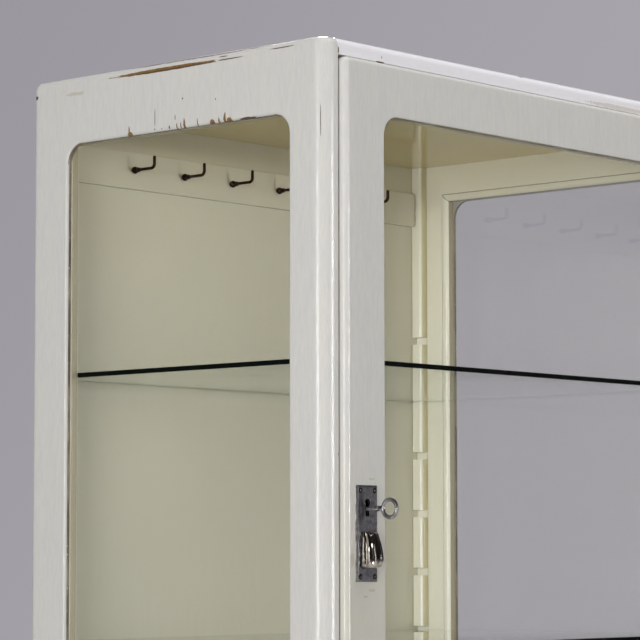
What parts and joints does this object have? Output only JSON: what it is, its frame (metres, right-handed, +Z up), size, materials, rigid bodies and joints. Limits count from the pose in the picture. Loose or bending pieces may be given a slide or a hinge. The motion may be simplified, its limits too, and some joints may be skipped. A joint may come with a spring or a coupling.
{
  "type": "glass door medical cabinet",
  "caption": "Painted wooden instrument cabinet on a stand, with a glazed hinged door and sides, glass shelves on notched posts, a hook rail, and a keyed lock with a fluted pull.",
  "frame": {"origin": "middle of the bounding box's bottom, on the floor between the legs", "axes": "+Z up, -Y out of the front, +X to the right as seen from the front"},
  "size_m": [0.64, 0.4614, 1.62],
  "materials": {
    "white_paint": "aged gloss off-white paint over plywood",
    "cream_paint": "yellowed cream paint",
    "window_glass": "clear sheet glass",
    "shelf_glass": "clear glass with dark green cut edges",
    "bronzed_wire": "dark bronzed",
    "aged_steel": "dark pitted steel",
    "bright_steel": "worn steel",
    "chromed_casting": "polished, worn"
  },
  "bodies": {
    "case": {"back_apron": "white_paint", "back_left_leg": "white_paint", "back_left_post": "cream_paint", "back_right_leg": "white_paint", "back_right_post": "cream_paint", "back_sheet": "cream_paint", "bottom_deck": "white_paint", "front_apron": "white_paint", "front_left_leg": "white_paint", "front_left_post": "cream_paint", "front_right_leg": "white_paint", "front_right_post": "cream_paint", "hook_1": "bronzed_wire", "hook_2": "bronzed_wire", "hook_3": "bronzed_wire", "hook_4": "bronzed_wire", "hook_5": "bronzed_wire", "hook_6": "bronzed_wire", "hook_rail": "cream_paint", "left_apron": "white_paint", "left_side_bottom_bead": "cream_paint", "left_side_front_bead": "cream_paint", "left_side_glass": "window_glass", "left_side_rear_bead": "cream_paint", "left_side_sheet": "white_paint", "left_side_top_bead": "cream_paint", "lower_hinge_case_leaf": "bright_steel", "lower_hinge_pin": "bright_steel", "lower_shelf": "shelf_glass", "right_apron": "white_paint", "right_side_bottom_bead": "cream_paint", "right_side_front_bead": "cream_paint", "right_side_glass": "window_glass", "right_side_rear_bead": "cream_paint", "right_side_sheet": "white_paint", "right_side_top_bead": "cream_paint", "strike_plate": "aged_steel", "top_deck": "white_paint", "upper_hinge_case_leaf": "bright_steel", "upper_hinge_pin": "bright_steel", "upper_shelf": "shelf_glass"},
    "door": {"door_bottom_bead": "cream_paint", "door_glass": "window_glass", "door_left_bead": "cream_paint", "door_pull": "chromed_casting", "door_right_bead": "cream_paint", "door_sheet": "white_paint", "door_top_bead": "cream_paint", "lock_case": "aged_steel", "lock_plate": "aged_steel", "lower_hinge_door_leaf": "bright_steel", "plate_pin_lower_left": "aged_steel", "plate_pin_lower_right": "aged_steel", "plate_pin_upper_left": "aged_steel", "plate_pin_upper_right": "aged_steel", "upper_hinge_door_leaf": "bright_steel"},
    "key": {"key": "bright_steel"},
    "bolt": {"lock_bolt": "bright_steel"}
  },
  "joints": [
    {"name": "door_hinge", "type": "hinge", "parent": "case", "child": "door", "pos_m": [0.299, -0.19125, 1.144], "axis": [0, 0, 1], "range_deg": [0, 170]},
    {"name": "key_turn", "type": "hinge", "parent": "door", "child": "key", "pos_m": [-0.2705, -0.19245, 1.1675], "axis": [0, -1, 0], "range_deg": [0, 360]},
    {"name": "bolt_throw", "type": "slide", "parent": "door", "child": "bolt", "axis": [-1, 0, 0], "range_m": [0, 0.008]}
  ],
  "couplings": [
    {"joint": "bolt_throw", "follows": "key_turn", "m_per_rad": 0.0012732}
  ]
}
